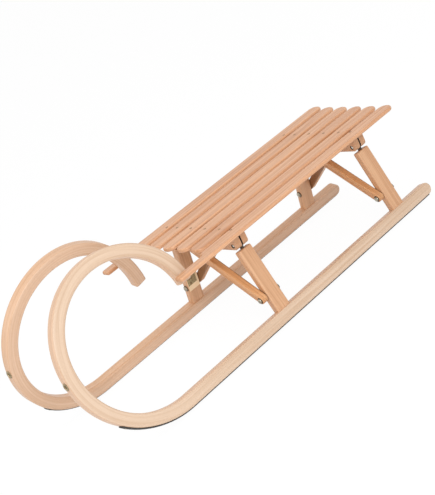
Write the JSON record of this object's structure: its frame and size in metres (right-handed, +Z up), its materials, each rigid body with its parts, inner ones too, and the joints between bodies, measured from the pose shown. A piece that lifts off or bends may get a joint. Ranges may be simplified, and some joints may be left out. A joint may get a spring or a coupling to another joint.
{
  "type": "folding horn sled",
  "caption": "Wooden folding sled with steam-bent horn runners on steel rails, a slatted seat hinged along its middle, and crossed struts under it.",
  "frame": {"origin": "on the ground, under the middle of the sled's length and width", "axes": "+X forward to the horns, +Y to the sled's left, +Z up"},
  "size_m": [1.1454, 0.366, 0.4008],
  "materials": {
    "runner_wood": "clear varnished beech, steam bent",
    "post_wood": "clear varnished beech",
    "beam_wood": "clear varnished beech",
    "slat_wood": "clear varnished beech",
    "strut_wood": "clear varnished beech, a little browner",
    "rail_steel": "black lacquered steel",
    "screw_steel": "zinc plated",
    "eyelet_brass": "darkened brass",
    "hinge_steel": "dark, oiled",
    "bolt_steel": "zinc plated"
  },
  "bodies": {
    "left_frame": {"left_runner": "runner_wood", "left_rail": "rail_steel", "left_rail_screw": "screw_steel", "left_tow_eye": "eyelet_brass", "left_rear_post": "post_wood", "left_rear_hinge_plate": "hinge_steel", "left_rear_foot_bolt": "bolt_steel", "left_front_post": "post_wood", "left_front_hinge_plate": "hinge_steel", "left_front_foot_bolt": "bolt_steel"},
    "left_seat": {"left_rear_beam": "beam_wood", "left_rear_hinge_bolt": "bolt_steel", "left_rear_centre_leaf": "hinge_steel", "left_front_beam": "beam_wood", "left_front_hinge_bolt": "bolt_steel", "left_front_centre_leaf": "hinge_steel", "left_inner_slat": "slat_wood", "left_middle_slat": "slat_wood", "left_outer_slat": "slat_wood", "rear_centre_pin": "bolt_steel", "front_centre_pin": "bolt_steel"},
    "right_seat": {"right_rear_beam": "beam_wood", "right_rear_hinge_bolt": "bolt_steel", "right_rear_centre_leaf": "hinge_steel", "right_front_beam": "beam_wood", "right_front_hinge_bolt": "bolt_steel", "right_front_centre_leaf": "hinge_steel", "right_inner_slat": "slat_wood", "right_middle_slat": "slat_wood", "right_outer_slat": "slat_wood"},
    "right_frame": {"right_runner": "runner_wood", "right_rail": "rail_steel", "right_rail_screw": "screw_steel", "right_tow_eye": "eyelet_brass", "right_rear_post": "post_wood", "right_rear_hinge_plate": "hinge_steel", "right_rear_foot_bolt": "bolt_steel", "right_front_post": "post_wood", "right_front_hinge_plate": "hinge_steel", "right_front_foot_bolt": "bolt_steel"},
    "left_rear_strut_arm": {"left_rear_strut": "strut_wood", "left_rear_eye_bolt": "bolt_steel"},
    "left_front_strut_arm": {"left_front_strut": "strut_wood", "left_front_eye_bolt": "bolt_steel"},
    "right_rear_strut_arm": {"right_rear_strut": "strut_wood", "right_rear_eye_bolt": "bolt_steel"},
    "right_front_strut_arm": {"right_front_strut": "strut_wood", "right_front_eye_bolt": "bolt_steel"}
  },
  "joints": [
    {"name": "left_seat_fold", "type": "hinge", "parent": "left_frame", "child": "left_seat", "pos_m": [-0.20317, 0.11793, 0.21536], "axis": [-1, 0, 0], "range_deg": [0, 76]},
    {"name": "centre_fold", "type": "hinge", "parent": "left_seat", "child": "right_seat", "pos_m": [-0.20317, 0, 0.19886], "axis": [1, 0, 0], "range_deg": [0, 180]},
    {"name": "right_frame_fold", "type": "hinge", "parent": "right_seat", "child": "right_frame", "pos_m": [-0.20317, -0.11793, 0.21536], "axis": [-1, 0, 0], "range_deg": [0, 76]},
    {"name": "left_rear_strut_foot", "type": "hinge", "parent": "left_frame", "child": "left_rear_strut_arm", "pos_m": [-0.42567, 0.15177, 0.07961], "axis": [-1, 0, 0], "range_deg": [0, 28.62]},
    {"name": "left_front_strut_foot", "type": "hinge", "parent": "left_frame", "child": "left_front_strut_arm", "pos_m": [0.01933, 0.15177, 0.07961], "axis": [-1, 0, 0], "range_deg": [0, 28.62]},
    {"name": "right_rear_strut_foot", "type": "hinge", "parent": "right_frame", "child": "right_rear_strut_arm", "pos_m": [-0.42567, -0.15177, 0.07961], "axis": [1, 0, 0], "range_deg": [0, 28.62]},
    {"name": "right_front_strut_foot", "type": "hinge", "parent": "right_frame", "child": "right_front_strut_arm", "pos_m": [0.01933, -0.15177, 0.07961], "axis": [1, 0, 0], "range_deg": [0, 28.62]}
  ],
  "couplings": [
    {"joint": "centre_fold", "follows": "left_seat_fold", "ratio": 2.3684},
    {"joint": "right_frame_fold", "follows": "left_seat_fold", "ratio": 1},
    {"joint": "left_rear_strut_foot", "follows": "left_seat_fold", "ratio": 0.3765},
    {"joint": "left_front_strut_foot", "follows": "left_seat_fold", "ratio": 0.3765},
    {"joint": "right_rear_strut_foot", "follows": "left_seat_fold", "ratio": 0.3765},
    {"joint": "right_front_strut_foot", "follows": "left_seat_fold", "ratio": 0.3765}
  ]
}
